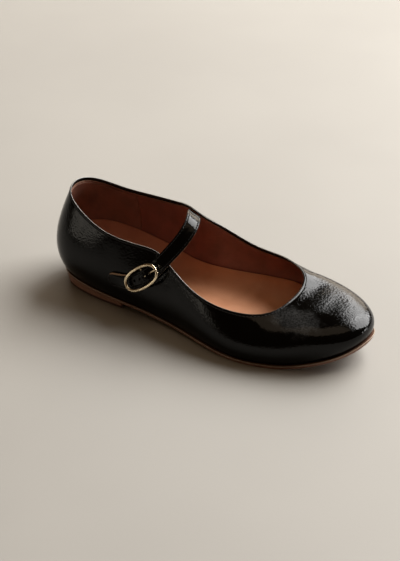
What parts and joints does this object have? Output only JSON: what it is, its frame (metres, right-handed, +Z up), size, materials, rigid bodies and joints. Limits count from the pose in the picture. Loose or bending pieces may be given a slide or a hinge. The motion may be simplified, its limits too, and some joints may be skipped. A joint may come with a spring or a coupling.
{
  "type": "ballet flat",
  "caption": "Round-toed patent ballet flat for the right foot, open at the collar and throat, with a buckled instep strap, thin sole and low heel.",
  "frame": {"origin": "on the floor, under the middle of the shoe's box", "axes": "+X towards the toe, +Y towards the medial (inner) side of this right shoe, +Z up"},
  "size_m": [0.2588, 0.091, 0.0779],
  "materials": {
    "patent_leather": "glossy crinkled patent, black, with a red-brown leather lining inside",
    "lining_leather": "soft satin, red-brown",
    "insole_leather": "soft matt, tan",
    "sole_leather": "satin, tan",
    "heel_leather": "satin, dark brown stack",
    "buckle_metal": "polished pale gold"
  },
  "bodies": {
    "root": {"upper": "patent_leather", "strap": "patent_leather", "buckle_tab": "patent_leather", "insole": "insole_leather", "outsole": "sole_leather", "heel": "heel_leather", "buckle_frame": "buckle_metal", "buckle_prong": "buckle_metal"}
  },
  "joints": []
}
